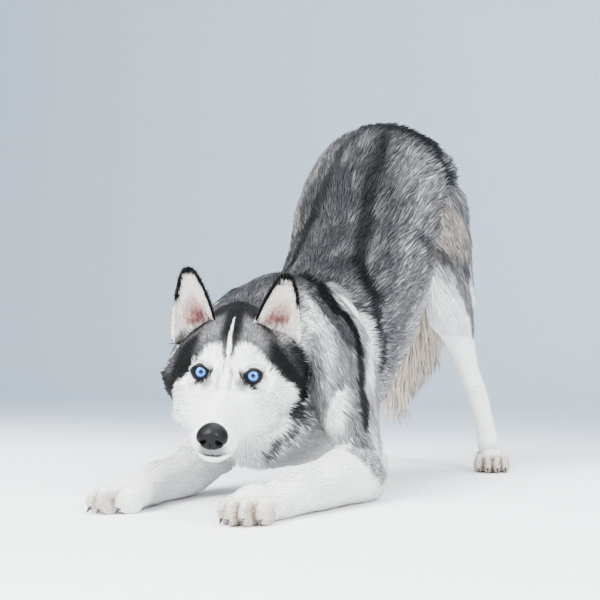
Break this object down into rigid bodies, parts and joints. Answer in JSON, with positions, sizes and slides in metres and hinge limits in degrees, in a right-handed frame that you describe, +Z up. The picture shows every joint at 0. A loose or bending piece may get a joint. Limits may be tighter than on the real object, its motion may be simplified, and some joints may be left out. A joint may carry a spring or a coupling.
{
  "type": "siberian husky figure",
  "caption": "Life-size still husky in a play bow, forearms flat on the ground and rump high, for use as a model animal.",
  "frame": {"origin": "on the ground, under the middle of the whole animal's box", "axes": "the dog faces -Y, +X is its left side, +Z is up"},
  "size_m": [0.3202, 0.8776, 0.5254],
  "materials": {
    "coat": "dense double coat, silver grey over white, hair solid in tufts",
    "eye": "wet, pale blue iris in a dark rim",
    "nose_leather": "charcoal pebbled skin, slightly moist",
    "claw": "dark horn, semi-gloss"
  },
  "bodies": {
    "root": {"chest": "coat", "loin": "coat", "neck": "coat", "head": "coat", "ear_left": "coat", "ear_right": "coat", "eye_left": "eye", "eye_right": "eye", "nose": "nose_leather", "tail": "coat", "upper_arm_left": "coat", "forearm_left": "coat", "forepaw_left": "coat", "forepaw_left_claw_1": "claw", "forepaw_left_claw_2": "claw", "forepaw_left_claw_3": "claw", "forepaw_left_claw_4": "claw", "upper_arm_right": "coat", "forearm_right": "coat", "forepaw_right": "coat", "forepaw_right_claw_1": "claw", "forepaw_right_claw_2": "claw", "forepaw_right_claw_3": "claw", "forepaw_right_claw_4": "claw", "thigh_left": "coat", "shank_left": "coat", "hind_pastern_left": "coat", "hind_paw_left": "coat", "hind_paw_left_claw_1": "claw", "hind_paw_left_claw_2": "claw", "hind_paw_left_claw_3": "claw", "hind_paw_left_claw_4": "claw", "thigh_right": "coat", "shank_right": "coat", "hind_pastern_right": "coat", "hind_paw_right": "coat", "hind_paw_right_claw_1": "claw", "hind_paw_right_claw_2": "claw", "hind_paw_right_claw_3": "claw", "hind_paw_right_claw_4": "claw"}
  },
  "joints": []
}
